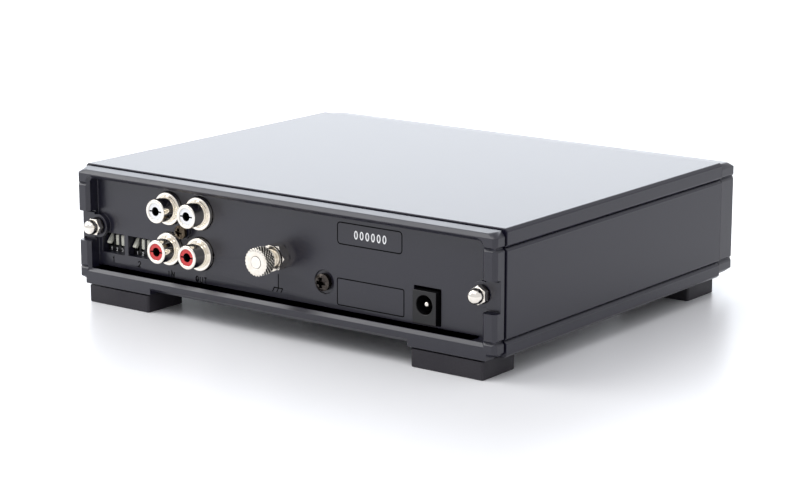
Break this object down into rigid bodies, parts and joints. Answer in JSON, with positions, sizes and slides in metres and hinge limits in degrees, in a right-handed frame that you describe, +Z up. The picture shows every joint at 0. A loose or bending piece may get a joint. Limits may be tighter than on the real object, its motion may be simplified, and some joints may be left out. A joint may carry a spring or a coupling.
{
  "type": "phono preamplifier",
  "caption": "Low wide phono preamplifier: metal covers between moulded ends, phono sockets, option switches, earth terminal and supply inlet behind, push button in front.",
  "frame": {"origin": "centre of the bounding box's underside, on the table between the feet", "axes": "+Z up, -Y is the fascia, +Y is the socket panel, +X is the left side of the object seen from behind"},
  "size_m": [0.18, 0.1602, 0.0485],
  "materials": {
    "powder_coat": "fine satin powder coat",
    "textured_abs": "fine moulded texture",
    "foot_rubber": "satin",
    "steel": "zinc plated",
    "black_steel": "black passivated",
    "nickel_plate": "bright nickel",
    "bronzed_steel": "bronzed",
    "tinned_brass": "tinned",
    "black_nylon": "moulded",
    "white_insulator": "moulded",
    "red_insulator": "moulded",
    "ivory_key": "moulded",
    "board_laminate": "solder resist",
    "aluminium_sheet": "mill finish",
    "epoxy_black": "moulded",
    "button_plastic": "satin",
    "red_lens": "clear",
    "capacitor_sleeve": "shrink sleeve",
    "film_red": "dipped",
    "resistor_tan": "lacquered"
  },
  "bodies": {
    "case": {"top_cover": "powder_coat", "bottom_cover": "powder_coat", "side_panel_left": "powder_coat", "side_panel_right": "powder_coat", "rear_moulding": "textured_abs", "front_moulding": "textured_abs", "tie_rods": "steel", "tie_rod_front_nuts": "steel", "tie_rod_washers": "black_steel", "dome_nuts": "nickel_plate", "foot_rear_left": "foot_rubber", "foot_rear_right": "foot_rubber", "foot_front_left": "foot_rubber", "foot_front_right": "foot_rubber", "foot_screws": "steel", "circuit_board": "board_laminate", "board_pillars": "steel", "board_screws": "steel", "rca_block": "black_nylon", "rca_shell_input_left": "nickel_plate", "rca_shell_input_right": "nickel_plate", "rca_shell_output_left": "nickel_plate", "rca_shell_output_right": "nickel_plate", "rca_insulators_white": "white_insulator", "rca_insulators_red": "red_insulator", "rca_contacts": "steel", "rca_block_screw": "bronzed_steel", "dip_block_left": "black_nylon", "dip_block_right": "black_nylon", "earth_stud": "nickel_plate", "earth_lock_nut": "nickel_plate", "earth_tag": "tinned_brass", "dc_jack_body": "black_nylon", "dc_jack_pin": "nickel_plate", "dc_jack_spring": "nickel_plate", "panel_screw": "black_steel", "heat_sink": "aluminium_sheet", "regulators": "epoxy_black", "power_switch": "steel", "pilot_lens": "red_lens", "pilot_led": "red_lens", "electrolytic_capacitors": "capacitor_sleeve", "film_capacitors": "film_red", "op_amps": "epoxy_black", "transistors": "epoxy_black", "resistors": "resistor_tan"},
    "power_button": {"power_button": "button_plastic"},
    "earth_clamp": {"earth_clamp_washer": "nickel_plate"},
    "earth_nut": {"earth_thumb_nut": "nickel_plate"},
    "key_left_1": {"dip_key_left_1": "ivory_key"},
    "key_left_2": {"dip_key_left_2": "ivory_key"},
    "key_left_3": {"dip_key_left_3": "ivory_key"},
    "key_left_4": {"dip_key_left_4": "ivory_key"},
    "key_right_1": {"dip_key_right_1": "ivory_key"},
    "key_right_2": {"dip_key_right_2": "ivory_key"},
    "key_right_3": {"dip_key_right_3": "ivory_key"},
    "key_right_4": {"dip_key_right_4": "ivory_key"}
  },
  "joints": [
    {"name": "power_press", "type": "slide", "parent": "case", "child": "power_button", "axis": [0, 1, 0], "range_m": [0, 0.0022], "stiffness_N_per_m": 400, "springref_m": -0.001},
    {"name": "earth_travel", "type": "slide", "parent": "case", "child": "earth_clamp", "axis": [0, 1, 0], "range_m": [-0.0007, 0.0021]},
    {"name": "earth_turn", "type": "hinge", "parent": "earth_clamp", "child": "earth_nut", "pos_m": [0.0012, 0.0759, 0.0273], "axis": [0, 1, 0], "range_deg": [-360, 1080]},
    {"name": "key_left_1_tilt", "type": "hinge", "parent": "case", "child": "key_left_1", "pos_m": [0.08096, 0.0638, 0.023], "axis": [1, 0, 0], "range_deg": [-41, 0]},
    {"name": "key_left_2_tilt", "type": "hinge", "parent": "case", "child": "key_left_2", "pos_m": [0.07842, 0.0638, 0.023], "axis": [1, 0, 0], "range_deg": [0, 41]},
    {"name": "key_left_3_tilt", "type": "hinge", "parent": "case", "child": "key_left_3", "pos_m": [0.07588, 0.0638, 0.023], "axis": [1, 0, 0], "range_deg": [0, 41]},
    {"name": "key_left_4_tilt", "type": "hinge", "parent": "case", "child": "key_left_4", "pos_m": [0.07334, 0.0638, 0.023], "axis": [1, 0, 0], "range_deg": [0, 41]},
    {"name": "key_right_1_tilt", "type": "hinge", "parent": "case", "child": "key_right_1", "pos_m": [0.06866, 0.0638, 0.023], "axis": [1, 0, 0], "range_deg": [-41, 0]},
    {"name": "key_right_2_tilt", "type": "hinge", "parent": "case", "child": "key_right_2", "pos_m": [0.06612, 0.0638, 0.023], "axis": [1, 0, 0], "range_deg": [0, 41]},
    {"name": "key_right_3_tilt", "type": "hinge", "parent": "case", "child": "key_right_3", "pos_m": [0.06358, 0.0638, 0.023], "axis": [1, 0, 0], "range_deg": [0, 41]},
    {"name": "key_right_4_tilt", "type": "hinge", "parent": "case", "child": "key_right_4", "pos_m": [0.06104, 0.0638, 0.023], "axis": [1, 0, 0], "range_deg": [0, 41]}
  ],
  "couplings": [
    {"joint": "earth_turn", "follows": "earth_travel", "rad_per_m": 8976}
  ]
}
